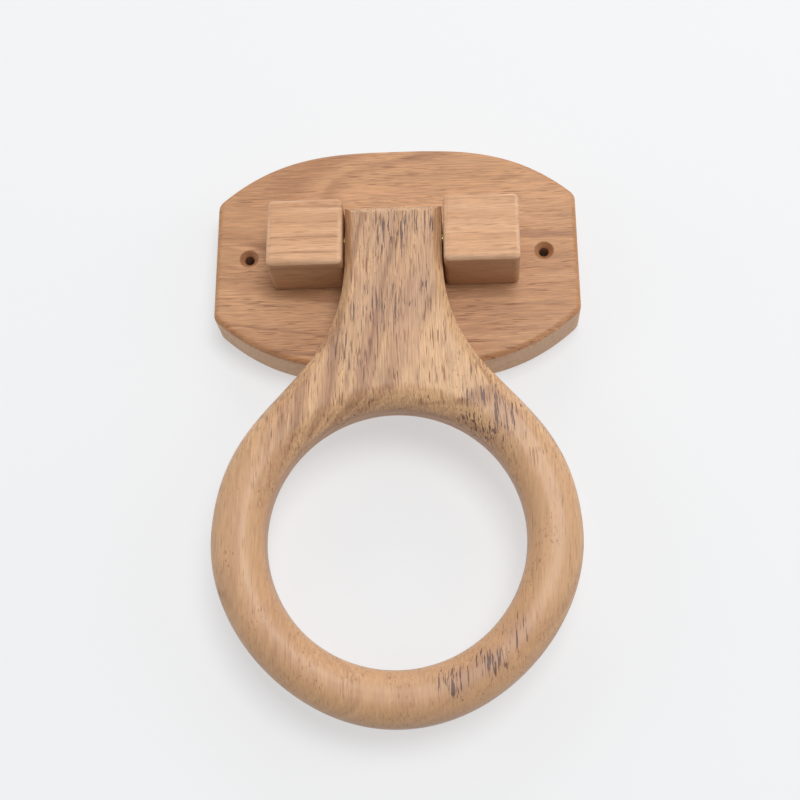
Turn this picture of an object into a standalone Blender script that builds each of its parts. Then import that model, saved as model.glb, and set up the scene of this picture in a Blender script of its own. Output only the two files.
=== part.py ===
"""Wooden towel ring: a ring and its neck cut from one board, pivoting on a brass pin between two blocks on a
wall plate. Metres, +Z up. The plate's back face lies at z = 0 with its centre at the origin, +Y is the plate's
upper side and the ring reaches towards -Y."""

import math

import bmesh
import bpy
from mathutils import Vector

MM = 0.001
GAP = 0.3 * MM  # between touching pieces

# Wall plate
PLATE_WIDTH = 155 * MM
PLATE_HEIGHT = 103 * MM
PLATE_THICKNESS = 19 * MM
PLATE_CROWN_DROP = 24.3 * MM  # how far the crowned upper and lower edges fall from the middle to the sides
PLATE_CROWN_POWER = 3.1
PLATE_CORNER_RUN = 1.8 * MM  # sideways length of the rounding where crown and side meet
PLATE_EDGE_ROUND = 2.8 * MM  # round-over along the front edge
PLATE_BACK_CHAMFER = 0.5 * MM

# Countersunk holes for the two wall screws
WALL_HOLE_X = 63 * MM
WALL_HOLE_RADIUS = 2.1 * MM
WALL_SINK_RADIUS = 4.0 * MM

# Pivot blocks
BLOCK_WIDTH = 31.2 * MM
BLOCK_HEIGHT = 29.9 * MM
BLOCK_DEPTH = 24.5 * MM
BLOCK_ROUND = 2.4 * MM
SLOT_WIDTH = 41.6 * MM  # between the blocks' inner faces
BLOCK_X = (SLOT_WIDTH + BLOCK_WIDTH) / 2

# Pivot axis and pin
PIVOT_Z = PLATE_THICKNESS + BLOCK_DEPTH / 2 + 0.1 * MM
PIN_RADIUS = 2.4 * MM
PIN_LENGTH = 66 * MM
PIN_CHAMFER = 0.4 * MM

# Ring board, in its own frame: x across, y along the neck from the pivot, z out of its front face
BOARD_THICKNESS = 19 * MM
RING_OUTER_RADIUS = 71.9 * MM
RING_SQUARENESS = 0.65 * MM  # the outline is fuller at its bottom and sides than between them
RING_HOLE_RADIUS = 51.0 * MM
RING_CENTRE_Y = -125.3 * MM
RING_FRONT_ROUND = 9.8 * MM
RING_BACK_ROUND = 4.5 * MM
TAB_WIDTH = 40.2 * MM
TAB_FRONT_EDGE = 4.0 * MM  # size of the nearly flat chamfer round the tab's front
TAB_FRONT_FULLNESS = 0.3  # 0 is a flat chamfer, 1 a quarter round
TAB_BACK_ROUND = 2.0 * MM
TAB_SWING_RADIUS = 12.0 * MM  # the tab's end is rounded about the pivot at its rear, to clear the plate
TAB_END_LEAN = math.radians(8)  # further forward it leans outwards
FLARE_START_Y = -9.3 * MM
FLARE_END_ANGLE = math.radians(3.4)  # round the ring from its +X side
FLARE_HANDLES = (58.8 * MM, 58.2 * MM)
REST_TILT = math.radians(2.85)  # the neck lies just clear of the plate's lower front edge

# Screws that hold each block from behind the plate
SCREW_SPREAD_Y = 8 * MM
SCREW_LENGTH = 32 * MM
SCREW_HEAD_RADIUS = 4.0 * MM
SCREW_SHANK_RADIUS = 2.05 * MM
SCREW_ROOT_RADIUS = 1.55 * MM
SCREW_PITCH = 1.8 * MM
SCREW_THREAD_START = 14 * MM
SCREW_TIP = 4 * MM
SCREW_SET_BACK = 0.4 * MM  # depth of the heads below the plate's back face
RECESS_WIDTH = 0.9 * MM
RECESS_LENGTH = 4.4 * MM
RECESS_DEPTH = 1.6 * MM

SMALL_SEGMENTS = 24
SMOOTH_ANGLE = math.radians(35)


def clear_scene():
    for obj in list(bpy.data.objects):
        bpy.data.objects.remove(obj, do_unlink=True)


def make_material(name, colour, roughness, metallic=0.0):
    material = bpy.data.materials.new(name)
    material.use_nodes = True
    shader = material.node_tree.nodes["Principled BSDF"]
    shader.inputs["Base Color"].default_value = (*colour, 1.0)
    shader.inputs["Roughness"].default_value = roughness
    shader.inputs["Metallic"].default_value = metallic
    material.diffuse_color = (*colour, 1.0)
    return material


def new_object(name, mesh, material=None):
    obj = bpy.data.objects.new(name, mesh)
    bpy.context.collection.objects.link(obj)
    if material:
        mesh.materials.clear()
        mesh.materials.append(material)
    return obj


def mesh_from_bmesh(name, bm):
    bmesh.ops.recalc_face_normals(bm, faces=bm.faces)
    mesh = bpy.data.meshes.new(name)
    bm.to_mesh(mesh)
    bm.free()
    return mesh


def smooth(obj):
    obj.data.shade_smooth()
    obj.data.set_sharp_from_angle(angle=SMOOTH_ANGLE)


def bridge_rows(bm, rows):
    """Quads between neighbouring rows of vertices. Each row is a closed loop."""
    for lower, upper in zip(rows, rows[1:]):
        count = len(lower)
        for i in range(count):
            j = (i + 1) % count
            bm.faces.new((lower[i], lower[j], upper[j], upper[i]))


def lathe_mesh(name, profile, segments):
    """A closed solid turned about +Z from (radius, z) points, listed from its low end to its high end."""
    bm = bmesh.new()
    rows = []
    for radius, z in profile:
        angles = [2 * math.pi * i / segments for i in range(segments)]
        rows.append([bm.verts.new((radius * math.cos(a), radius * math.sin(a), z)) for a in angles])
    bridge_rows(bm, rows)
    bm.faces.new(rows[0])
    bm.faces.new(rows[-1])
    return mesh_from_bmesh(name, bm)


def box_mesh(name, size, rounding=0.0, rounded=None):
    """A box centred on its origin, with the edges that rounded() picks bevelled."""
    bm = bmesh.new()
    bmesh.ops.create_cube(bm, size=1.0)
    bmesh.ops.scale(bm, vec=size, verts=bm.verts)
    if rounding:
        edges = [edge for edge in bm.edges if rounded(edge)]
        bmesh.ops.bevel(bm, geom=edges, offset=rounding, segments=3, profile=0.5, affect="EDGES")
    return mesh_from_bmesh(name, bm)


def make_cutter(name, mesh, location, rotation=(0, 0, 0), parent=None):
    cutter = new_object(name, mesh)
    cutter.location = location
    cutter.rotation_euler = rotation
    cutter.parent = parent
    cutter.hide_render = True
    cutter.display_type = "WIRE"
    return cutter


def cut(obj, cutter):
    modifier = obj.modifiers.new("cut_" + cutter.name, "BOOLEAN")
    modifier.operation = "DIFFERENCE"
    modifier.solver = "EXACT"
    modifier.object = cutter


def cylinder_mesh(name, radius, length, segments=SMALL_SEGMENTS):
    return lathe_mesh(name, [(radius, -length / 2), (radius, length / 2)], segments)


# Wall plate


def crown(x):
    """Height of the plate's upper edge above its centre line, at x."""
    return PLATE_HEIGHT / 2 - PLATE_CROWN_DROP * abs(2 * x / PLATE_WIDTH) ** PLATE_CROWN_POWER


def plate_quarter():
    """Outline points from the middle of the upper edge to the middle of the right side, the latter left out."""
    crown_steps = 14
    corner_steps = 4
    x_end = PLATE_WIDTH / 2 - PLATE_CORNER_RUN
    points = [Vector((x_end * i / crown_steps, crown(x_end * i / crown_steps))) for i in range(crown_steps)]
    start = Vector((x_end, crown(x_end)))
    slope = (crown(x_end + 0.01 * MM) - crown(x_end - 0.01 * MM)) / (0.02 * MM)
    peak = start + PLATE_CORNER_RUN * Vector((1, slope))
    end = Vector((peak.x, peak.y - (peak - start).length))
    for i in range(corner_steps + 1):
        t = i / corner_steps
        points.append(start * (1 - t) ** 2 + peak * 2 * t * (1 - t) + end * t * t)
    return points


def plate_outline():
    """The whole outline, clockwise from the middle of the upper edge."""
    quarter = plate_quarter()
    right = quarter + [Vector((p.x, -p.y)) for p in reversed(quarter)]
    left = [Vector((-p.x, p.y)) for p in reversed(right[1:-1])]
    return right + left


def inset_outline(points, distance):
    """The closed outline moved inwards by distance, along each point's own normal."""
    moved = []
    for i, point in enumerate(points):
        along = points[(i + 1) % len(points)] - points[i - 1]
        inward = Vector((along.y, -along.x)).normalized()
        if inward.dot(point) > 0:
            inward = -inward
        moved.append(point + inward * distance)
    return moved


def round_over(radius, steps):
    """(inset, drop) pairs of a quarter round, from the wall to the flat face."""
    angles = [math.pi / 2 * i / steps for i in range(steps + 1)]
    return [(radius * (1 - math.cos(a)), radius * (1 - math.sin(a))) for a in angles]


def countersunk_mesh(name, hole_radius, sink_radius, face_z, far_z):
    """Cutter of a 90 degree countersink at face_z with its hole running on to far_z."""
    side = 1 if face_z > far_z else -1
    outside = 1 * MM
    profile = [
        (hole_radius, far_z),
        (hole_radius, face_z - side * (sink_radius - hole_radius)),
        (sink_radius, face_z),
        (sink_radius + outside, face_z + side * outside),
    ]
    return lathe_mesh(name, profile if side > 0 else profile[::-1], SMALL_SEGMENTS)


def make_back_plate(material):
    outline = plate_outline()
    layers = [(PLATE_BACK_CHAMFER, 0.0), (0.0, PLATE_BACK_CHAMFER)]
    layers += [(inset, PLATE_THICKNESS - drop) for inset, drop in round_over(PLATE_EDGE_ROUND, 4)]
    bm = bmesh.new()
    rows = []
    for inset, z in layers:
        rows.append([bm.verts.new((p.x, p.y, z)) for p in inset_outline(outline, inset)])
    bridge_rows(bm, rows)
    bm.faces.new(rows[0])
    bm.faces.new(rows[-1])
    plate = new_object("back_plate", mesh_from_bmesh("back_plate", bm), material)
    wall_hole = countersunk_mesh("wall_hole", WALL_HOLE_RADIUS, WALL_SINK_RADIUS, PLATE_THICKNESS, -2 * MM)
    for side, x in (("left", -WALL_HOLE_X), ("right", WALL_HOLE_X)):
        cut(plate, make_cutter("wall_hole_" + side, wall_hole, (x, 0, 0)))
    clear_radius = SCREW_SHANK_RADIUS + GAP
    head_radius = SCREW_HEAD_RADIUS + SCREW_SET_BACK + GAP
    screw_hole = countersunk_mesh("screw_hole", clear_radius, head_radius, 0.0, PLATE_THICKNESS + 2 * MM)
    for name, x, y in screw_places():
        cut(plate, make_cutter("hole_for_" + name, screw_hole, (x, y, 0)))
    smooth(plate)


# Pivot blocks, pin and screws


def screw_places():
    for side, x in (("left", -BLOCK_X), ("right", BLOCK_X)):
        for level, y in (("upper", SCREW_SPREAD_Y), ("lower", -SCREW_SPREAD_Y)):
            yield f"block_screw_{side}_{level}", x, y


def make_block(side, sign, material):
    depth = BLOCK_DEPTH - GAP
    back_z = -depth / 2

    def off_the_back(edge):
        return not all(vert.co.z < back_z + GAP for vert in edge.verts)

    mesh = box_mesh(f"{side}_block", (BLOCK_WIDTH, BLOCK_HEIGHT, depth), BLOCK_ROUND, off_the_back)
    block = new_object(f"{side}_block", mesh, material)
    block.location = (sign * BLOCK_X, 0, PLATE_THICKNESS + GAP + depth / 2)
    pin_hole = cylinder_mesh(f"{side}_pin_hole", PIN_RADIUS + GAP, PIN_LENGTH + 2 * GAP)
    cut(block, make_cutter(f"{side}_pin_hole", pin_hole, (0, 0, PIVOT_Z), (0, math.pi / 2, 0)))
    bore_top = SCREW_SET_BACK + SCREW_LENGTH + GAP
    bore_bottom = PLATE_THICKNESS - GAP
    bore = cylinder_mesh(f"{side}_screw_bore", SCREW_SHANK_RADIUS + GAP, bore_top - bore_bottom)
    for name, x, y in screw_places():
        if side in name:
            cut(block, make_cutter("bore_for_" + name, bore, (x, y, (bore_top + bore_bottom) / 2)))
    smooth(block)


def make_pivot_pin(material):
    half = PIN_LENGTH / 2
    profile = [
        (PIN_RADIUS - PIN_CHAMFER, -half),
        (PIN_RADIUS, -half + PIN_CHAMFER),
        (PIN_RADIUS, half - PIN_CHAMFER),
        (PIN_RADIUS - PIN_CHAMFER, half),
    ]
    pin = new_object("pivot_pin", lathe_mesh("pivot_pin", profile, SMALL_SEGMENTS), material)
    pin.location = (0, 0, PIVOT_Z)
    pin.rotation_euler = (0, math.pi / 2, 0)
    smooth(pin)


def screw_profile():
    """(radius, z) from the flat head at z = 0 to the point."""
    cone = SCREW_HEAD_RADIUS - SCREW_SHANK_RADIUS
    profile = [
        (SCREW_HEAD_RADIUS - 0.2 * MM, 0),
        (SCREW_HEAD_RADIUS, 0.2 * MM),
        (SCREW_SHANK_RADIUS, 0.2 * MM + cone),
    ]
    profile.append((SCREW_SHANK_RADIUS, SCREW_THREAD_START - SCREW_PITCH / 4))
    taper_start = SCREW_LENGTH - SCREW_TIP
    turns = int((taper_start - SCREW_THREAD_START) / SCREW_PITCH)
    for i in range(turns):
        z = SCREW_THREAD_START + i * SCREW_PITCH
        profile.append((SCREW_ROOT_RADIUS, z))
        profile.append((SCREW_ROOT_RADIUS, z + SCREW_PITCH * 0.5))
        profile.append((SCREW_SHANK_RADIUS, z + SCREW_PITCH * 0.75))
    profile.append((SCREW_ROOT_RADIUS, taper_start))
    profile.append((0.3 * MM, SCREW_LENGTH))
    return profile


def make_screws(material):
    """One screw is cut with its cross recess, and the four screws share its mesh."""
    blank = new_object("screw_blank", lathe_mesh("screw_blank", screw_profile(), 16))
    sizes = ((RECESS_LENGTH, RECESS_WIDTH, 2 * RECESS_DEPTH), (RECESS_WIDTH, RECESS_LENGTH, 2 * RECESS_DEPTH))
    cutters = []
    for name, size in zip(("recess_across", "recess_along"), sizes):
        cutters.append(make_cutter(name, box_mesh(name, size), (0, 0, 0)))
        cut(blank, cutters[-1])
    bpy.context.view_layer.update()
    graph = bpy.context.evaluated_depsgraph_get()
    shared = bpy.data.meshes.new_from_object(blank.evaluated_get(graph))
    for helper in [blank] + cutters:
        bpy.data.objects.remove(helper, do_unlink=True)
    for name, x, y in screw_places():
        screw = new_object(name, shared, material)
        screw.location = (x, y, SCREW_SET_BACK)
        smooth(screw)


# Ring, neck and tab, from one board


def blend(start, end, t):
    """Eased mix of two values."""
    t = max(0.0, min(1.0, t))
    return start + (end - start) * t * t * (3 - 2 * t)


def ring_edge(angle):
    """Point, inward direction and upward tangent of the ring's outline, at an angle from its +X side."""
    outward = Vector((math.cos(angle), math.sin(angle)))
    sideways = Vector((-outward.y, outward.x))
    radius = RING_OUTER_RADIUS + RING_SQUARENESS * math.cos(4 * angle)
    growth = -4 * RING_SQUARENESS * math.sin(4 * angle)
    tangent = (growth * outward + radius * sideways).normalized()
    point = Vector((0, RING_CENTRE_Y)) + radius * outward
    return point, Vector((-tangent.y, tangent.x)), tangent


def flare_point(t):
    """Point and tangent of the neck's right edge, from the straight tab to the ring."""
    start = Vector((TAB_WIDTH / 2, FLARE_START_Y))
    end, _, end_tangent = ring_edge(FLARE_END_ANGLE)
    controls = (
        start,
        start - Vector((0, FLARE_HANDLES[0])),
        end + FLARE_HANDLES[1] * end_tangent,
        end,
    )
    weights = ((1 - t) ** 3, 3 * t * (1 - t) ** 2, 3 * t * t * (1 - t), t**3)
    point = Vector((0, 0))
    for control, weight in zip(controls, weights):
        point += control * weight
    tangent = Vector((0, 0))
    for first, second, weight in zip(controls, controls[1:], ((1 - t) ** 2, 2 * t * (1 - t), t * t)):
        tangent += (second - first) * weight
    return point, tangent.normalized()


def right_half_columns():
    """Columns from the middle of the tab's end round to the ring's lowest point. Each is an outline point, the
    directions in which its end rounding and its side rounding move it inwards, and the shape of its edges."""
    half = TAB_WIDTH / 2
    end_y = tab_end_reach(BOARD_THICKNESS / 2 - TAB_FRONT_EDGE)
    tab_rounds = (TAB_FRONT_EDGE, TAB_BACK_ROUND, TAB_FRONT_FULLNESS)
    end_inward = Vector((0, -1))
    side_inward = Vector((-1, 0))
    no_shift = Vector((0, 0))
    columns = [(Vector((half * f, end_y)), end_inward, no_shift, tab_rounds) for f in (0, 0.35, 0.7)]
    columns.append((Vector((half, end_y)), end_inward, side_inward, tab_rounds))
    flare_steps = 14
    for i in range(flare_steps + 1):
        point, tangent = flare_point(i / flare_steps)
        rounds = (
            blend(TAB_FRONT_EDGE, RING_FRONT_ROUND, i / flare_steps),
            blend(TAB_BACK_ROUND, RING_BACK_ROUND, i / flare_steps),
            blend(TAB_FRONT_FULLNESS, 1.0, i / flare_steps),
        )
        columns.append((point, no_shift, Vector((tangent.y, -tangent.x)), rounds))
    ring_steps = 17
    for i in range(1, ring_steps + 1):
        point, inward, _ = ring_edge(FLARE_END_ANGLE + (-math.pi / 2 - FLARE_END_ANGLE) * i / ring_steps)
        columns.append((point, no_shift, inward, (RING_FRONT_ROUND, RING_BACK_ROUND, 1.0)))
    return columns


def edge_inset(height, front, back, fullness=1.0):
    """How far a wall stands inside its outline, at height above mid board. fullness shapes the front edge."""
    half = BOARD_THICKNESS / 2
    into_front = height - (half - front)
    into_back = -height - (half - back)
    if into_front > 0:
        quarter_round = front - math.sqrt(max(front * front - into_front * into_front, 0.0))
        return into_front + (quarter_round - into_front) * fullness
    if into_back > 0:
        return back - math.sqrt(max(back * back - into_back * into_back, 0.0))
    return 0.0


def tab_end_reach(height):
    """How far the tab's end reaches past the pivot, at height above mid board and below its front edge."""
    if height < -TAB_SWING_RADIUS * math.sin(TAB_END_LEAN):
        return math.sqrt(TAB_SWING_RADIUS**2 - height * height)
    return (TAB_SWING_RADIUS + height * math.sin(TAB_END_LEAN)) / math.cos(TAB_END_LEAN)


def tab_end_inset(height):
    edge_height = BOARD_THICKNESS / 2 - TAB_FRONT_EDGE
    if height > edge_height:
        return edge_inset(height, TAB_FRONT_EDGE, 0.0, TAB_FRONT_FULLNESS)
    return tab_end_reach(edge_height) - tab_end_reach(height)


def wall_heights(front, back, front_steps=5, back_steps=3):
    """Heights of the rows from the front face down the wall to the back face."""
    half = BOARD_THICKNESS / 2
    rows = [half - front * (1 - math.cos(math.pi / 2 * i / front_steps)) for i in range(front_steps + 1)]
    rows += [-half + back * (1 - math.sin(math.pi / 2 * i / back_steps)) for i in range(back_steps + 1)]
    return rows


def column_points(column):
    """One closed section of the board: down the outer wall and up the wall of the hole."""
    point, end_inward, side_inward, (front, back, fullness) = column
    at_end = end_inward.length > 0
    points = []
    for height in wall_heights(front, BOARD_THICKNESS / 2 if at_end else back):
        end_shift = end_inward * tab_end_inset(height)
        side_shift = side_inward * edge_inset(height, front, back, fullness)
        points.append((*(point + end_shift + side_shift), height))
    centre = Vector((0, RING_CENTRE_Y))
    outward = (point - centre).normalized()
    for height in reversed(wall_heights(RING_FRONT_ROUND, RING_BACK_ROUND)):
        radius = RING_HOLE_RADIUS + edge_inset(height, RING_FRONT_ROUND, RING_BACK_ROUND)
        points.append((*(centre + outward * radius), height))
    return points


def make_towel_ring(material):
    pivot = bpy.data.objects.new("ring_pivot", None)
    bpy.context.collection.objects.link(pivot)
    pivot.location = (0, 0, PIVOT_Z)
    pivot.rotation_euler = (REST_TILT, 0, 0)
    right = [column_points(column) for column in right_half_columns()]
    left = [[(-x, y, z) for x, y, z in column] for column in reversed(right[1:-1])]
    bm = bmesh.new()
    rows = [[bm.verts.new(point) for point in column] for column in right + left]
    bridge_rows(bm, rows + rows[:1])
    ring = new_object("towel_ring", mesh_from_bmesh("towel_ring", bm), material)
    ring.parent = pivot
    bore = cylinder_mesh("ring_bore", PIN_RADIUS + GAP, TAB_WIDTH + 10 * MM)
    cut(ring, make_cutter("ring_bore", bore, (0, 0, 0), (0, math.pi / 2, 0), pivot))
    smooth(ring)


def main():
    clear_scene()
    plate_wood = make_material("plate_wood", (0.52, 0.30, 0.17), 0.5)
    block_wood = make_material("block_wood", (0.60, 0.37, 0.22), 0.5)
    ring_wood = make_material("ring_wood", (0.56, 0.33, 0.20), 0.45)
    brass = make_material("brass", (0.72, 0.50, 0.20), 0.3, 1.0)
    steel = make_material("zinc_plated_steel", (0.55, 0.55, 0.53), 0.35, 1.0)
    make_back_plate(plate_wood)
    make_block("left", -1, block_wood)
    make_block("right", 1, block_wood)
    make_pivot_pin(brass)
    make_screws(steel)
    make_towel_ring(ring_wood)


main()
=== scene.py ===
import math

import bmesh
import bpy
from mathutils import Matrix, Vector


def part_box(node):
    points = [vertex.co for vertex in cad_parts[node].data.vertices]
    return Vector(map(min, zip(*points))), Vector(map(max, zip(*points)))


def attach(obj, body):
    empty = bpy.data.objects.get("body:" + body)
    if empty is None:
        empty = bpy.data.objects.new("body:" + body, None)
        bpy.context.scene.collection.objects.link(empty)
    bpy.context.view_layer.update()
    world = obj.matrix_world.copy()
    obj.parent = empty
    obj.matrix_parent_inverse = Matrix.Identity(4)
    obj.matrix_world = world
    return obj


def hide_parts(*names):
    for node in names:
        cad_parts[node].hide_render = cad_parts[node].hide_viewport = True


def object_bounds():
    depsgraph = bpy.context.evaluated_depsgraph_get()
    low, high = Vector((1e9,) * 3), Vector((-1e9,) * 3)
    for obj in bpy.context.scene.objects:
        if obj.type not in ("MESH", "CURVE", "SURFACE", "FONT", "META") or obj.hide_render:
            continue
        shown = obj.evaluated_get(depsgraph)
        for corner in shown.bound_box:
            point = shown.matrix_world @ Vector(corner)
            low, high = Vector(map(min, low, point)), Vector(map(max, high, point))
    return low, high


# Finished look of the wooden towel ring. Metres, +Z out of the plate's front and +Y to its upper edge.

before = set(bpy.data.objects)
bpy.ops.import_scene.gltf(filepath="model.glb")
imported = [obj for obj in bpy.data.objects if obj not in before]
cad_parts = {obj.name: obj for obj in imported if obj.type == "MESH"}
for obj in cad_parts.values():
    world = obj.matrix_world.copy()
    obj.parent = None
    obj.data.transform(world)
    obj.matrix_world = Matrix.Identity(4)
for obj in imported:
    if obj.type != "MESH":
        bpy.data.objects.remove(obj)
CAD_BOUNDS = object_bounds()

MM = 0.001

# Camera, floor and lights
CAMERA_PLACE = Vector((28.5, -249.3, 513.7)) * MM
CAMERA_TURN = (0.35377, 0.05624, -0.00471)
CAMERA_LENS = 58.12
SENSOR_WIDTH = 36.0
FLOOR_SIZE = 12.0
FLOOR_GAP = 0.2 * MM
FLOOR_COLOUR = (0.36, 0.365, 0.37, 1.0)
FLOOR_GLOW_COLOUR = (0.985, 0.99, 1.0, 1.0)
FLOOR_GLOW = 0.51  # partly self-lit, which keeps its shadows faint
SKY_COLOUR = (0.96, 0.98, 1.0, 1.0)
SKY_STRENGTH = 0.28
LIGHT_TARGET = Vector((0.0, -0.06, 0.02))
WHITE = (1.0, 1.0, 1.0)
LIGHTS = (  # name, place, size, watts, colour
    ("overhead", (0.50, 0.38, 2.28), (1.3, 1.1), 36.0, (1.0, 0.99, 0.975)),
    ("top_panel", (0.0, 2.1, 1.1), (1.6, 1.2), 13.0, WHITE),
    ("left_panel", (-1.9, 0.2, 1.0), (1.4, 1.2), 7.0, WHITE),
    ("right_panel", (1.9, 0.2, 1.0), (1.4, 1.2), 9.0, WHITE),
)

# Plate
PLATE_CROWN_DROP = 24.3 * MM
PLATE_CROWN_POWER = 3.1
PLATE_CORNER_RUN = 1.8 * MM
PLATE_EDGE_ROUND = 2.8 * MM
PLATE_BACK_CHAMFER = 0.5 * MM
WALL_HOLE_X = 63 * MM
WALL_HOLE_RADIUS = 2.1 * MM
WALL_SINK_RADIUS = 4.0 * MM
WALL_SINK_SOFTENING = 0.25 * MM  # the rims are a little rounded by sanding

# Blocks, pin and screws
BLOCK_ROUND = 2.4 * MM
SCREW_BORE_RADIUS = 2.35 * MM
RUNNING_GAP = 0.3 * MM
OVERRUN = 1 * MM  # a cutter reaches at least this far past a surface that it opens

# Ring board, in its own frame: x across, y along the neck from the pivot, z out of its front face
BOARD_THICKNESS = 19 * MM
RING_OUTER_RADIUS = 71.9 * MM
RING_SQUARENESS = 0.65 * MM  # the hand-shaped outline is fuller at its bottom and sides than between them
RING_HOLE_RADIUS = 51.0 * MM
RING_CENTRE_Y = -125.3 * MM
RING_FRONT_ROUND = 9.8 * MM
RING_BACK_ROUND = 4.5 * MM
TAB_WIDTH = 40.2 * MM
TAB_FRONT_EDGE = 4.0 * MM  # size of the nearly flat chamfer round the tab's front
TAB_FRONT_FULLNESS = 0.3  # 0 is a flat chamfer, 1 a quarter round
TAB_BACK_ROUND = 2.0 * MM
TAB_SWING_RADIUS = 12.0 * MM  # at its rear the tab's end is rounded about the pivot, to clear the plate
TAB_END_LEAN = math.radians(8)  # further forward it leans outwards
FLARE_START_Y = -9.3 * MM
FLARE_END_ANGLE = math.radians(3.4)
FLARE_HANDLES = (58.8 * MM, 58.2 * MM)
REST_TILT = math.radians(2.85)

SMOOTH_ANGLE = math.radians(28)

# Wood. A pattern is how fine its noise is, per metre across the grain, along it and into the board.
SWAY_PATTERN = (9.0, 9.0, 9.0)
BAND_PATTERN = (300.0, 5.0, 1.0)  # out from the pith, along the grain, and the seed as it is
LINES_PER_METRE = 150.0
LINE_FIELD_PATTERN = (60.0, 14.0, 60.0)
FIBRE_PATTERN = (2600.0, 130.0, 900.0)
STRAND_PATTERN = (1400.0, 52.0, 460.0)
PATCH_PATTERN = (70.0, 16.0, 70.0)
PORE_PATTERN = (1700.0, 120.0, 640.0)
PORE_FIELD_PATTERN = (150.0, 24.0, 150.0)
SPECK_PATTERN = (1500.0, 420.0, 1100.0)
SPECK_FIELD_PATTERN = (85.0, 45.0, 85.0)
STREAK_PATTERN = (1350.0, 84.0, 520.0)
STREAK_FIELD_PATTERN = (40.0, 20.0, 40.0)
SWAY_REACH = 10 * MM
SWAY_IN_DEPTH = 0.6  # as a share of the sway across
SEED_SHIFT = (1.0, 0.37, 0.71)  # where in the endless wood a seed's board is cut from

LINE_TINT = (0.26, 0.115, 0.06)
PORE_TINT = (0.20, 0.085, 0.045)
SPECK_TINT = (0.30, 0.115, 0.045)
HALO_TINT = (0.40, 0.225, 0.165)
STREAK_TINT = (0.115, 0.066, 0.056)
SINK_TINT = (0.24, 0.10, 0.045)

WALL_PAINTED_LIGHT = 0.6  # how much of its own tint each kind of surface takes; the upright walls take painted light and shade
END_GRAIN_SHADE = 0.3
SINK_SHADE = 0.6
SINK_BLUR = 0.3 * MM
CALM_VIGOUR = 0.38  # how strong the figure is in the calm part of a board
WOOD_SPECULAR = 0.4
GRAIN_BUMP = 0.45
GRAIN_DEPTH = 0.12 * MM
METAL_WEAR = 0.72  # how dark the worn spots of the metal are

RING_CALM_SPAN = (-112 * MM, -72 * MM)

# Mineral stains in the ring board: centre and radius in mm, strength
STAIN_CORE = 0.25  # share of a stain's radius that has its whole strength
RING_STAINS = (
    ((-1, 0, 41), 17, 0.95),
    ((10, 3, 41), 12, 1.0),
    ((-4, -33, 40), 20, 0.9),
    ((8, -28, 40), 16, 0.6),
    ((-18, -54, 38), 18, 0.7),
    ((37, -80, 36), 20, 1.0),
    ((22, -182, 36), 12, 1.35),
    ((34, -175, 36), 13, 1.3),
    ((44, -163, 36), 11, 1.0),
    ((-30, -95, 36), 10, 0.5),
)


# Mesh helpers


def mesh_from_bmesh(name, bm):
    bmesh.ops.recalc_face_normals(bm, faces=bm.faces)
    mesh = bpy.data.meshes.new(name)
    bm.to_mesh(mesh)
    bm.free()
    return mesh


def new_object(name, mesh):
    obj = bpy.data.objects.new(name, mesh)
    bpy.context.scene.collection.objects.link(obj)
    return obj


def bridge_rows(bm, rows):
    """Quads between neighbouring closed rows of vertices."""
    for lower, upper in zip(rows, rows[1:]):
        for i in range(len(lower)):
            j = (i + 1) % len(lower)
            bm.faces.new((lower[i], lower[j], upper[j], upper[i]))


def lathe_mesh(name, profile, segments=64):
    """A closed solid turned about +Z from (radius, z) points, listed from its low end to its high end."""
    bm = bmesh.new()
    rows = []
    for radius, z in profile:
        angles = [2 * math.pi * i / segments for i in range(segments)]
        rows.append([bm.verts.new((radius * math.cos(a), radius * math.sin(a), z)) for a in angles])
    bridge_rows(bm, rows)
    bm.faces.new(rows[0])
    bm.faces.new(rows[-1])
    return mesh_from_bmesh(name, bm)


def cut_all(obj, cutters):
    """Cuts the cutters from obj, keeps the result as its mesh and removes the cutters."""
    for cutter in cutters:
        modifier = obj.modifiers.new(cutter.name, "BOOLEAN")
        modifier.operation = "DIFFERENCE"
        modifier.solver = "EXACT"
        modifier.object = cutter
    bpy.context.view_layer.update()
    graph = bpy.context.evaluated_depsgraph_get()
    result = bpy.data.meshes.new_from_object(obj.evaluated_get(graph))
    obj.modifiers.clear()
    obj.data = result
    for cutter in cutters:
        bpy.data.objects.remove(cutter, do_unlink=True)


def place_cutter(name, mesh, place, turn=(0, 0, 0)):
    cutter = new_object(name, mesh)
    cutter.location = place
    cutter.rotation_euler = turn
    return cutter


def finish_mesh(obj, material):
    """Smooth shading that keeps flat faces flat, and the one material."""
    obj.data.materials.clear()
    obj.data.materials.append(material)
    obj.data.shade_smooth()
    obj.data.set_sharp_from_angle(angle=SMOOTH_ANGLE)
    weighted = obj.modifiers.new("flat_faces_flat", "WEIGHTED_NORMAL")
    weighted.keep_sharp = True


# Plate


def crown(x, width, height):
    """Height of the plate's crowned upper edge at x."""
    return height / 2 - PLATE_CROWN_DROP * abs(2 * x / width) ** PLATE_CROWN_POWER


def plate_outline(width, height, crown_steps=56, corner_steps=10):
    """The whole outline, clockwise from the middle of the upper edge."""
    x_end = width / 2 - PLATE_CORNER_RUN
    quarter = []
    for i in range(crown_steps):
        x = x_end * i / crown_steps
        quarter.append(Vector((x, crown(x, width, height))))
    start = Vector((x_end, crown(x_end, width, height)))
    step = 0.01 * MM
    slope = (crown(x_end + step, width, height) - crown(x_end - step, width, height)) / (2 * step)
    peak = start + PLATE_CORNER_RUN * Vector((1, slope))
    end = Vector((peak.x, peak.y - (peak - start).length))
    for i in range(corner_steps + 1):
        t = i / corner_steps
        quarter.append(start * (1 - t) ** 2 + peak * 2 * t * (1 - t) + end * t * t)
    right = quarter + [Vector((p.x, -p.y)) for p in reversed(quarter)]
    return right + [Vector((-p.x, p.y)) for p in reversed(right[1:-1])]


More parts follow.
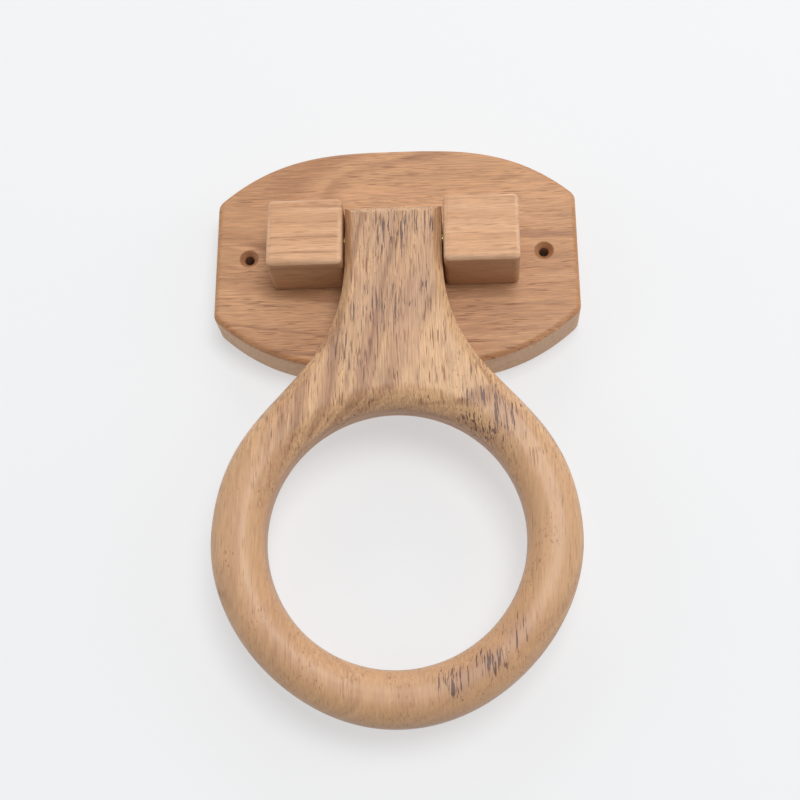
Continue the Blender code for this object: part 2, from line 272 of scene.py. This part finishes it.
def inset_outline(points, distance):
    """The closed outline moved inwards by distance, along each point's own normal."""
    moved = []
    for i, point in enumerate(points):
        along = points[(i + 1) % len(points)] - points[i - 1]
        inward = Vector((along.y, -along.x)).normalized()
        if inward.dot(point) > 0:
            inward = -inward
        moved.append(point + inward * distance)
    return moved


def make_plate(material, round_steps=10):
    low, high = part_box("back_plate")
    outline = plate_outline(high.x - low.x, high.y - low.y)
    thickness = high.z - low.z
    layers = [(PLATE_BACK_CHAMFER, 0.0), (0.0, PLATE_BACK_CHAMFER)]
    for i in range(round_steps + 1):
        angle = math.pi / 2 * i / round_steps
        inset = PLATE_EDGE_ROUND * (1 - math.cos(angle))
        layers.append((inset, thickness - PLATE_EDGE_ROUND * (1 - math.sin(angle))))
    bm = bmesh.new()
    rows = []
    for inset, z in layers:
        rows.append([bm.verts.new((p.x, p.y, low.z + z)) for p in inset_outline(outline, inset)])
    bridge_rows(bm, rows)
    bm.faces.new(rows[0])
    bm.faces.new(rows[-1])
    plate = new_object("plate_board", mesh_from_bmesh("plate_board", bm))
    cut_all(plate, wall_hole_cutters(high.z) + block_screw_cutters(low.z, high.z))
    finish_mesh(plate, material)
    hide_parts("back_plate")
    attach(plate, "bracket")


def wall_hole_cutters(face_z):
    """Two countersunk holes right through the plate."""
    rim_depth = 0.02 * MM
    profile = [
        (WALL_HOLE_RADIUS, -2 * OVERRUN),
        (WALL_HOLE_RADIUS, face_z - (WALL_SINK_RADIUS - WALL_HOLE_RADIUS)),
        (WALL_SINK_RADIUS - WALL_SINK_SOFTENING, face_z - WALL_SINK_SOFTENING),
        (WALL_SINK_RADIUS + WALL_SINK_SOFTENING, face_z - rim_depth),
        (WALL_SINK_RADIUS + OVERRUN, face_z + OVERRUN),
    ]
    mesh = lathe_mesh("wall_hole", profile)
    places = enumerate((-WALL_HOLE_X, WALL_HOLE_X))
    return [place_cutter(f"wall_hole_{number}", mesh, (x, 0, 0)) for number, x in places]


def screw_nodes():
    return sorted(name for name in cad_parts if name.startswith("block_screw"))


def block_screw_cutters(back_z, face_z):
    """The countersunk holes, from the back, for the screws that hold the blocks."""
    cutters = []
    for name in screw_nodes():
        low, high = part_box(name)
        middle = (low + high) / 2
        head = (high.x - low.x) / 2 + (low.z - back_z) + RUNNING_GAP
        profile = [
            (head + OVERRUN, back_z - OVERRUN),
            (head, back_z),
            (SCREW_BORE_RADIUS, back_z + head - SCREW_BORE_RADIUS),
            (SCREW_BORE_RADIUS, face_z + 2 * OVERRUN),
        ]
        mesh = lathe_mesh("screw_hole", profile)
        cutters.append(place_cutter("hole_for_" + name, mesh, (middle.x, middle.y, 0)))
    return cutters


# Blocks


def pin_bore(name, half_length):
    """A cutter along X for the pivot pin to run in, reaching half_length each way from the pin's middle."""
    low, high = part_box("pivot_pin")
    radius = (high.z - low.z) / 2 + RUNNING_GAP
    mesh = lathe_mesh(name, [(radius, -half_length), (radius, half_length)])
    return place_cutter(name, mesh, (low + high) / 2, (0, math.pi / 2, 0))


def screw_bores(low, high):
    """Cutters for the screws that end inside the block between the corners low and high."""
    cutters = []
    for name in screw_nodes():
        screw_low, screw_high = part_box(name)
        middle = (screw_low + screw_high) / 2
        if low.x < middle.x < high.x:
            profile = [(SCREW_BORE_RADIUS, low.z - OVERRUN), (SCREW_BORE_RADIUS, screw_high.z + RUNNING_GAP)]
            mesh = lathe_mesh("screw_bore", profile)
            cutters.append(place_cutter("bore_for_" + name, mesh, (middle.x, middle.y, 0)))
    return cutters


def make_block(node, material):
    low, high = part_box(node)
    size = high - low
    middle = (low + high) / 2
    bm = bmesh.new()
    bmesh.ops.create_cube(bm, size=1.0)
    bmesh.ops.scale(bm, vec=size, verts=bm.verts)
    edges = [edge for edge in bm.edges if any(vert.co.z > 0 for vert in edge.verts)]
    bmesh.ops.bevel(bm, geom=edges, offset=BLOCK_ROUND, segments=8, profile=0.5, affect="EDGES")
    bmesh.ops.translate(bm, vec=middle, verts=bm.verts)
    block = new_object(node + "_wood", mesh_from_bmesh(node, bm))
    pin_low, pin_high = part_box("pivot_pin")
    half_length = (pin_high.x - pin_low.x) / 2 + RUNNING_GAP
    cut_all(block, [pin_bore("pin_hole", half_length)] + screw_bores(low, high))
    finish_mesh(block, material)
    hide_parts(node)
    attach(block, "bracket")


# Ring, neck and tab


def blend(start, end, t):
    """Eased mix of two values."""
    t = max(0.0, min(1.0, t))
    return start + (end - start) * t * t * (3 - 2 * t)


def ring_edge(angle):
    """Point, inward direction and upward tangent of the ring's outline, at an angle from its +X side."""
    outward = Vector((math.cos(angle), math.sin(angle)))
    sideways = Vector((-outward.y, outward.x))
    radius = RING_OUTER_RADIUS + RING_SQUARENESS * math.cos(4 * angle)
    growth = -4 * RING_SQUARENESS * math.sin(4 * angle)
    tangent = (growth * outward + radius * sideways).normalized()
    point = Vector((0, RING_CENTRE_Y)) + radius * outward
    return point, Vector((-tangent.y, tangent.x)), tangent


def flare_point(t):
    """Point and tangent of the neck's right edge, from the straight tab to the ring."""
    start = Vector((TAB_WIDTH / 2, FLARE_START_Y))
    end, _, end_tangent = ring_edge(FLARE_END_ANGLE)
    controls = (
        start,
        start - Vector((0, FLARE_HANDLES[0])),
        end + FLARE_HANDLES[1] * end_tangent,
        end,
    )
    weights = ((1 - t) ** 3, 3 * t * (1 - t) ** 2, 3 * t * t * (1 - t), t**3)
    point = Vector((0, 0))
    for control, weight in zip(controls, weights):
        point += control * weight
    tangent = Vector((0, 0))
    for first, second, weight in zip(controls, controls[1:], ((1 - t) ** 2, 2 * t * (1 - t), t * t)):
        tangent += (second - first) * weight
    return point, tangent.normalized()


def right_half_columns(tab_steps=12, side_steps=12, flare_steps=56, ring_steps=84):
    """Columns from the middle of the tab's end round to the ring's lowest point. Each has an outline point,
    the inward directions of the end's edge and of the side's edge there, and how far down the tab and along
    the flare it is."""
    half = TAB_WIDTH / 2
    end_y = tab_end_reach(BOARD_THICKNESS / 2 - TAB_FRONT_EDGE)
    end_inward = Vector((0, -1))
    side_inward = Vector((-1, 0))
    columns = []
    for i in range(tab_steps + 1):
        across = i / tab_steps
        columns.append((Vector((half * across, end_y)), end_inward, side_inward * across, 0.0, 0.0))
    for i in range(1, side_steps):
        down = i / side_steps
        y = end_y + (FLARE_START_Y - end_y) * down
        columns.append((Vector((half, y)), end_inward * (1 - down), side_inward, down, 0.0))
    for i in range(flare_steps + 1):
        point, tangent = flare_point(i / flare_steps)
        columns.append((point, Vector((0, 0)), Vector((tangent.y, -tangent.x)), 1.0, i / flare_steps))
    for i in range(1, ring_steps + 1):
        point, inward, _ = ring_edge(FLARE_END_ANGLE + (-math.pi / 2 - FLARE_END_ANGLE) * i / ring_steps)
        columns.append((point, Vector((0, 0)), inward, 1.0, 1.0))
    return columns


def edge_inset(height, front, back, fullness=1.0):
    """How far a wall stands inside its outline, at height above mid board. fullness shapes the front edge."""
    half = BOARD_THICKNESS / 2
    into_front = height - (half - front)
    into_back = -height - (half - back)
    if into_front > 0:
        quarter_round = front - math.sqrt(max(front * front - into_front * into_front, 0.0))
        return into_front + (quarter_round - into_front) * fullness
    if into_back > 0:
        return back - math.sqrt(max(back * back - into_back * into_back, 0.0))
    return 0.0


def tab_end_reach(height):
    """How far the tab's end reaches past the pivot, at height above mid board and below its front edge."""
    if height < -TAB_SWING_RADIUS * math.sin(TAB_END_LEAN):
        return math.sqrt(TAB_SWING_RADIUS**2 - height * height)
    return (TAB_SWING_RADIUS + height * math.sin(TAB_END_LEAN)) / math.cos(TAB_END_LEAN)


def tab_end_inset(height):
    """How far the tab's end stands inside its furthest reach, at height above mid board."""
    edge_height = BOARD_THICKNESS / 2 - TAB_FRONT_EDGE
    if height > edge_height:
        return edge_inset(height, TAB_FRONT_EDGE, 0.0, TAB_FRONT_FULLNESS)
    return tab_end_reach(edge_height) - tab_end_reach(height)


def wall_heights(front, back, front_steps=20, back_steps=10):
    """Heights of the rows from the front face down the wall to the back face."""
    half = BOARD_THICKNESS / 2
    rows = [half - front * (1 - math.cos(math.pi / 2 * i / front_steps)) for i in range(front_steps + 1)]
    rows += [-half + back * (1 - math.sin(math.pi / 2 * i / back_steps)) for i in range(back_steps + 1)]
    return rows


def column_points(column):
    """One closed section of the board: down the outer wall and up the wall of the hole."""
    point, end_inward, side_inward, down_tab, along_flare = column
    front = blend(TAB_FRONT_EDGE, RING_FRONT_ROUND, along_flare)
    fullness = blend(TAB_FRONT_FULLNESS, 1.0, along_flare)
    back = blend(TAB_BACK_ROUND, RING_BACK_ROUND, along_flare)
    points = []
    for height in wall_heights(front, BOARD_THICKNESS / 2 + (back - BOARD_THICKNESS / 2) * down_tab):
        end_shift = end_inward * tab_end_inset(height)
        side_shift = side_inward * edge_inset(height, front, back, fullness)
        points.append((*(point + end_shift + side_shift), height))
    centre = Vector((0, RING_CENTRE_Y))
    outward = (point - centre).normalized()
    for height in reversed(wall_heights(RING_FRONT_ROUND, RING_BACK_ROUND)):
        radius = RING_HOLE_RADIUS + edge_inset(height, RING_FRONT_ROUND, RING_BACK_ROUND)
        points.append((*(centre + outward * radius), height))
    return points


def make_ring(material):
    pin_low, pin_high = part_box("pivot_pin")
    pivot = (pin_low + pin_high) / 2
    right = [column_points(column) for column in right_half_columns()]
    left = [[(-x, y, z) for x, y, z in column] for column in reversed(right[1:-1])]
    bm = bmesh.new()
    rows = [[bm.verts.new(point) for point in column] for column in right + left]
    bridge_rows(bm, rows + rows[:1])
    bm.transform(Matrix.Translation(pivot) @ Matrix.Rotation(REST_TILT, 4, "X"))
    ring = new_object("ring_board", mesh_from_bmesh("ring_board", bm))
    cut_all(ring, [pin_bore("ring_bore", TAB_WIDTH)])
    finish_mesh(ring, material)
    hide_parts("towel_ring")
    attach(ring, "ring")


# Materials


class Graph:
    """Small helper for building a material's nodes."""

    def __init__(self, name):
        self.material = bpy.data.materials.new(name)
        self.material.use_nodes = True
        self.tree = self.material.node_tree
        self.shader = self.tree.nodes["Principled BSDF"]

    def put(self, socket, value):
        """A number, a colour or another node's output into a socket."""
        if isinstance(value, bpy.types.NodeSocket):
            self.tree.links.new(value, socket)
        elif isinstance(value, (tuple, list)) and len(value) == 3 and socket.type == "RGBA":
            socket.default_value = (*value, 1.0)
        else:
            socket.default_value = value

    def math(self, operation, *values):
        node = self.tree.nodes.new("ShaderNodeMath")
        node.operation = operation
        for socket, value in zip(node.inputs, values):
            self.put(socket, value)
        return node.outputs[0]

    def vector(self, operation, *values):
        node = self.tree.nodes.new("ShaderNodeVectorMath")
        node.operation = operation
        for socket, value in zip(node.inputs, values):
            self.put(socket, value)
        return node.outputs["Value" if operation in ("LENGTH", "DISTANCE") else "Vector"]

    def mix(self, factor, first, second, mode="MIX"):
        """From the first colour at factor 0 to the second at 1."""
        node = self.tree.nodes.new("ShaderNodeMix")
        node.data_type = "RGBA"
        node.blend_type = mode
        first_colour, second_colour, result = node.inputs[6], node.inputs[7], node.outputs[2]
        self.put(node.inputs["Factor"], factor)
        self.put(first_colour, first)
        self.put(second_colour, second)
        return result

    def ramp(self, value, low, high, out_low=0.0, out_high=1.0):
        """A smooth step of value from low to high."""
        node = self.tree.nodes.new("ShaderNodeMapRange")
        node.interpolation_type = "SMOOTHSTEP"
        for socket, number in zip(node.inputs, (value, low, high, out_low, out_high)):
            self.put(socket, number)
        return node.outputs[0]

    def noise(self, point, pattern, detail=2.0, roughness=0.5):
        """Noise at the point, as fine in each direction as the pattern says."""
        node = self.tree.nodes.new("ShaderNodeTexNoise")
        self.put(node.inputs["Vector"], self.vector("MULTIPLY", point, pattern))
        self.put(node.inputs["Scale"], 1.0)
        self.put(node.inputs["Detail"], detail)
        self.put(node.inputs["Roughness"], roughness)
        return node.outputs["Fac"]

    def object_point(self):
        return self.tree.nodes.new("ShaderNodeTexCoord").outputs["Object"]

    def object_normal(self):
        return self.parts(self.tree.nodes.new("ShaderNodeTexCoord").outputs["Normal"])

    def parts(self, vector):
        node = self.tree.nodes.new("ShaderNodeSeparateXYZ")
        self.put(node.inputs[0], vector)
        return node.outputs

    def join(self, x, y, z):
        node = self.tree.nodes.new("ShaderNodeCombineXYZ")
        for socket, value in zip(node.inputs, (x, y, z)):
            self.put(socket, value)
        return node.outputs[0]


def grain_points(g, grain, seed):
    """Where a point lies along the grain, and the point as (across, along, depth) in the wood that the seed
    picks: first straight, then with the grain's slight wander."""
    place = g.parts(g.object_point())
    along, across = (place[1], place[0]) if grain == "Y" else (place[0], place[1])
    board = g.join(across, along, place[2])
    board = g.vector("ADD", board, tuple(seed * shift for shift in SEED_SHIFT))
    sway = g.noise(board, SWAY_PATTERN, detail=1.0)
    sway = g.math("MULTIPLY", g.math("SUBTRACT", sway, 0.5), SWAY_REACH)
    wander = g.vector("ADD", board, g.join(sway, 0.0, g.math("MULTIPLY", sway, SWAY_IN_DEPTH)))
    return along, board, wander


def growth_figure(g, wander, along, pith, seed):
    """Strengths of the dark growth bands and of the thin lines between them. Both are rings about a pith that
    lies outside the board, and arch over towards one end."""
    centre = (pith[0] + seed, 0.0, pith[1] + seed * SEED_SHIFT[2])
    radial = g.vector("SUBTRACT", wander, centre)
    radial = g.vector("MULTIPLY", radial, (1.0, 0.0, 1.0))
    arch = g.math("SUBTRACT", along, pith[2])
    arch = g.math("MULTIPLY", g.math("MULTIPLY", arch, arch), pith[3])
    distance = g.math("ADD", g.vector("LENGTH", radial), arch)
    bands = g.noise(g.join(distance, along, seed), BAND_PATTERN, detail=3.0)
    bands = g.ramp(bands, 0.36, 0.64)
    wave = g.math("FRACT", g.math("MULTIPLY", distance, LINES_PER_METRE))
    lines = g.math("MULTIPLY", g.ramp(wave, 0.76, 0.90), g.ramp(wave, 1.0, 0.92))
    field = g.noise(wander, LINE_FIELD_PATTERN, detail=1.0)
    return bands, g.math("MULTIPLY", lines, g.ramp(field, 0.38, 0.60, 0.0, 0.5))


def surface_tints(g, colour, tints, painted_edge_tint, grain, patch):
    """The colour with painted highlight and shade on its rounded edges, known by their slanting surface and
    patchy by noise, painted light and shade on its upright faces, the darker tint of its end-grain faces, and
    how upright the surface is."""
    normal = g.object_normal()
    facing = normal[2]
    slanting = g.math("MULTIPLY", g.ramp(facing, 0.99, 0.88), g.ramp(facing, 0.05, 0.35))
    # painted highlight and shade on the slanting round-overs, patchy by noise
    painted_edge_light = g.math("MULTIPLY", slanting, g.ramp(patch, 0.35, 0.65, 0.15, 0.8))
    colour = g.mix(painted_edge_light, colour, painted_edge_tint)
    # painted light and shade on upright walls: lighter on the plate for light from the floor, darker on
    # blocks and ring for shade
    upright = g.ramp(g.math("ABSOLUTE", facing), 0.30, 0.08)
    colour = g.mix(g.math("MULTIPLY", upright, WALL_PAINTED_LIGHT), colour, tints["wall"])
    end_grain = g.ramp(g.math("ABSOLUTE", normal[1] if grain == "Y" else normal[0]), 0.85, 0.98)
    colour = g.mix(g.math("MULTIPLY", end_grain, END_GRAIN_SHADE), colour, tints["dark"])
    return colour, upright


def fibre_shade(g, colour, fibre, strand, contrast):
    """The colour made lighter and darker by its fibres."""
    fibre_tone = g.ramp(fibre, 0.32, 0.68, -0.9, 0.75)
    strand_tone = g.ramp(strand, 0.34, 0.66, -0.8, 0.65)
    tone = g.math("MULTIPLY", g.math("ADD", fibre_tone, strand_tone), contrast)
    tone = g.math("ADD", tone, 1.0)
    return g.mix(1.0, colour, g.join(tone, tone, tone), "MULTIPLY")


def pore_marks(g, wander):
    """Open pores: short scratches along the grain, in groups."""
    marks = g.noise(wander, PORE_PATTERN, detail=1.0)
    field = g.noise(wander, PORE_FIELD_PATTERN)
    return g.math("MULTIPLY", g.ramp(marks, 0.57, 0.70), g.ramp(field, 0.36, 0.56))


def speck_marks(g, board, wander):
    """Red-brown specks where the grain turns up to the surface."""
    marks = g.noise(wander, SPECK_PATTERN, detail=1.0)
    field = g.noise(board, SPECK_FIELD_PATTERN)
    return g.math("MULTIPLY", g.ramp(marks, 0.62, 0.72), g.ramp(field, 0.46, 0.64))


def mineral_marks(g, board, wander, amount, stains):
    """Mineral streaks, thick only where the stains lie, and the strength of the stain round them."""
    marks = g.noise(wander, STREAK_PATTERN, detail=2.5, roughness=0.62)
    field = g.ramp(g.noise(board, STREAK_FIELD_PATTERN), 0.46, 0.68, 0.0, amount)
    for centre, radius, strength in stains:
        off = g.vector("DISTANCE", g.object_point(), tuple(c * MM for c in centre))
        stain = g.ramp(off, radius * MM, radius * STAIN_CORE * MM, 0.0, strength)
        field = g.math("MAXIMUM", field, stain)
    threshold = g.math("SUBTRACT", 0.68, g.math("MULTIPLY", field, 0.15))
    streaks = g.ramp(g.math("SUBTRACT", marks, threshold), 0.0, 0.05)
    return g.math("MULTIPLY", streaks, g.ramp(field, 0.03, 0.3, 0.0, 0.88)), field


def sink_shade(g, colour, sinks):
    """The colour, darkened on the slopes of the screw sinks."""
    place = g.parts(g.object_point())
    spot = g.join(place[0], place[1], 0.0)
    slope = g.ramp(g.object_normal()[2], 0.97, 0.9)
    for x, radius in sinks:
        off = g.vector("DISTANCE", spot, (x, 0.0, 0.0))
        inside = g.math("MULTIPLY", g.ramp(off, radius + SINK_BLUR, radius - SINK_BLUR), slope)
        colour = g.mix(g.math("MULTIPLY", inside, SINK_SHADE), colour, SINK_TINT)
    return colour


def wood_material(
    name, grain, seed, tints, pith, figure, gloss, pore_amount, speck_amount, streak_amount, calm_span=None,
    stains=(), sinks=(),
):
    """Oiled teak as a solid block of wood, its grain along the grain axis, so that long grain shows as
    streaks and end grain as dots.

    Of the tints, light and dark are the growth bands' colours, warm that of softer patches, edge the painted
    highlight and shade on the round-overs and wall the painted light and shade on the surfaces that stand
    upright. pith is the bands' centre across and in depth, then where along the board their arches peak and
    how steep they are. figure is the contrast of the fibres, and gloss the lowest roughness. calm_span is
    where along the board the figure grows from faint to full. stains (centre and radius in mm, strength) hold
    thick streaks, and sinks (x, radius) are darker."""
    g = Graph(name)
    along, board, wander = grain_points(g, grain, seed)
    bands, lines = growth_figure(g, wander, along, pith, seed)
    fibre = g.noise(wander, FIBRE_PATTERN)
    strand = g.noise(wander, STRAND_PATTERN, detail=3.0, roughness=0.6)
    patch = g.noise(wander, PATCH_PATTERN)

    colour = g.mix(bands, tints["light"], tints["dark"])
    colour = g.mix(g.ramp(patch, 0.36, 0.66, 0.0, 0.7), colour, tints["warm"])
    colour = g.mix(lines, colour, LINE_TINT)
    vigour = 1.0
    # the edge tint is painted highlight and shade on the round-overs
    painted_edge_tint = tints["edge"]
    if calm_span:
        vigour = g.ramp(along, calm_span[0], calm_span[1], CALM_VIGOUR, 1.0)
        colour = g.mix(vigour, tints["warm"], colour)
        painted_edge_tint = g.mix(vigour, painted_edge_tint, tints["light"])
    colour, upright = surface_tints(g, colour, tints, painted_edge_tint, grain, patch)
    figured = g.math("MULTIPLY", vigour, g.math("SUBTRACT", 1.0, g.math("MULTIPLY", upright, 0.5)))

    colour = fibre_shade(g, colour, fibre, strand, g.math("MULTIPLY", figured, figure))
    pores = pore_marks(g, wander)
    colour = g.mix(g.math("MULTIPLY", pores, g.math("MULTIPLY", figured, pore_amount)), colour, PORE_TINT)
    colour = g.mix(g.math("MULTIPLY", speck_marks(g, board, wander), speck_amount), colour, SPECK_TINT)
    streaks, stained = mineral_marks(g, board, wander, streak_amount, stains)
    halo = g.math("MULTIPLY", stained, g.ramp(patch, 0.40, 0.60, 0.05, 0.34))
    colour = g.mix(halo, colour, HALO_TINT)
    colour = g.mix(streaks, colour, STREAK_TINT)
    if sinks:
        colour = sink_shade(g, colour, sinks)
    g.put(g.shader.inputs["Base Color"], colour)

    rough = g.math("ADD", g.ramp(strand, 0.3, 0.7, gloss, gloss + 0.1), g.math("MULTIPLY", pores, 0.15))
    g.put(g.shader.inputs["Roughness"], rough)
    g.shader.inputs["Specular IOR Level"].default_value = WOOD_SPECULAR
    hollows = g.math("MAXIMUM", pores, streaks)
    bump = g.tree.nodes.new("ShaderNodeBump")
    bump.inputs["Strength"].default_value = GRAIN_BUMP
    bump.inputs["Distance"].default_value = GRAIN_DEPTH
    g.put(bump.inputs["Height"], g.math("SUBTRACT", g.math("MULTIPLY", fibre, 0.5), hollows))
    g.put(g.shader.inputs["Normal"], bump.outputs[0])
    return g.material


def plate_wood():
    return wood_material(
        name="plate_wood",
        grain="X",
        seed=0.31,
        tints={
            "light": (0.575, 0.31, 0.16),
            "dark": (0.42, 0.205, 0.10),
            "warm": (0.51, 0.265, 0.13),
            # edge: painted shade on the plate's front round-over
            "edge": (0.47, 0.215, 0.09),
            # wall: painted light from the floor on the plate's upright walls
            "wall": (0.60, 0.39, 0.235),
        },
        pith=(0.03, -0.05, 0.06, 0.45),
        figure=0.15,
        gloss=0.46,
        pore_amount=0.6,
        speck_amount=0.1,
        streak_amount=0.15,
        sinks=((-WALL_HOLE_X, WALL_SINK_RADIUS), (WALL_HOLE_X, WALL_SINK_RADIUS)),
    )


def block_wood():
    return wood_material(
        name="block_wood",
        grain="X",
        seed=1.7,
        tints={
            "light": (0.70, 0.41, 0.235),
            "dark": (0.55, 0.295, 0.155),
            "warm": (0.635, 0.345, 0.18),
            # edge: painted highlight on the blocks' round-overs
            "edge": (0.74, 0.47, 0.30),
            # wall: painted shade on the blocks' upright faces
            "wall": (0.44, 0.25, 0.14),
        },
        pith=(-0.12, 0.0, 0.0, 0.3),
        figure=0.10,
        gloss=0.44,
        pore_amount=0.3,
        speck_amount=0.2,
        streak_amount=0.05,
    )


def ring_wood():
    return wood_material(
        name="ring_wood",
        grain="Y",
        seed=3.2,
        tints={
            "light": (0.655, 0.40, 0.215),
            "dark": (0.42, 0.225, 0.125),
            "warm": (0.585, 0.345, 0.195),
            # edge: painted shade on the flanks of the ring's round-overs
            "edge": (0.54, 0.30, 0.15),
            # wall: painted shade on the ring's upright walls
            "wall": (0.40, 0.21, 0.105),
        },
        pith=(0.04, -0.06, -0.20, 0.12),
        figure=0.18,
        gloss=0.36,
        pore_amount=0.8,
        speck_amount=0.75,
        streak_amount=0.2,
        calm_span=RING_CALM_SPAN,
        stains=RING_STAINS,
    )


def metal_material(name, colour, roughness, pattern):
    """Metal with fine, slightly darker and rougher wear."""
    g = Graph(name)
    wear = g.noise(g.object_point(), pattern, detail=3.0, roughness=0.6)
    worn_colour = tuple(channel * METAL_WEAR for channel in colour)
    g.put(g.shader.inputs["Base Color"], g.mix(g.ramp(wear, 0.3, 0.7), colour, worn_colour))
    g.put(g.shader.inputs["Roughness"], g.ramp(wear, 0.2, 0.8, roughness, roughness + 0.18))
    g.shader.inputs["Metallic"].default_value = 1.0
    return g.material


# Floor, lights and camera


def make_floor():
    bm = bmesh.new()
    bmesh.ops.create_grid(bm, x_segments=8, y_segments=8, size=FLOOR_SIZE / 2)
    floor = new_object("floor", mesh_from_bmesh("floor", bm))
    floor.location = (0, 0, CAD_BOUNDS[0].z - FLOOR_GAP)
    g = Graph("floor_paper")
    g.shader.inputs["Base Color"].default_value = FLOOR_COLOUR
    g.shader.inputs["Emission Color"].default_value = FLOOR_GLOW_COLOUR
    g.shader.inputs["Emission Strength"].default_value = FLOOR_GLOW
    g.shader.inputs["Roughness"].default_value = 0.9
    g.shader.inputs["Specular IOR Level"].default_value = 0.1
    floor.data.materials.append(g.material)


def area_light(name, place, size, power, colour):
    """A rectangular panel that faces LIGHT_TARGET."""
    data = bpy.data.lights.new(name, "AREA")
    data.shape = "RECTANGLE"
    data.size, data.size_y = size
    data.energy = power
    data.color = colour
    light = bpy.data.objects.new(name, data)
    bpy.context.scene.collection.objects.link(light)
    light.location = place
    light.rotation_euler = (LIGHT_TARGET - Vector(place)).to_track_quat("-Z", "Y").to_euler()


def light_scene():
    world = bpy.data.worlds.new("studio")
    world.use_nodes = True
    background = world.node_tree.nodes["Background"]
    background.inputs["Color"].default_value = SKY_COLOUR
    background.inputs["Strength"].default_value = SKY_STRENGTH
    bpy.context.scene.world = world
    for light in LIGHTS:
        area_light(*light)


def make_camera():
    data = bpy.data.cameras.new("camera")
    data.lens = CAMERA_LENS
    data.sensor_width = SENSOR_WIDTH
    camera = bpy.data.objects.new("camera", data)
    bpy.context.scene.collection.objects.link(camera)
    camera.location = CAMERA_PLACE
    camera.rotation_euler = CAMERA_TURN
    bpy.context.scene.camera = camera


def finish_metal():
    """Looks for the pin and the screws, which keep the CAD's shapes."""
    brass = metal_material(
        name="pin_brass",
        colour=(0.72, 0.50, 0.20),
        roughness=0.22,
        pattern=(4000, 400, 400),
    )
    steel = metal_material(
        name="screw_steel",
        colour=(0.62, 0.62, 0.60),
        roughness=0.28,
        pattern=(900, 900, 900),
    )
    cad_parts["pivot_pin"].data.materials[0] = brass
    for name in screw_nodes():
        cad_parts[name].data.materials[0] = steel


def main():
    make_plate(plate_wood())
    shared_wood = block_wood()
    make_block("left_block", shared_wood)
    make_block("right_block", shared_wood)
    make_ring(ring_wood())
    finish_metal()
    make_floor()
    light_scene()
    make_camera()
    bpy.context.scene.view_settings.view_transform = "Standard"


main()
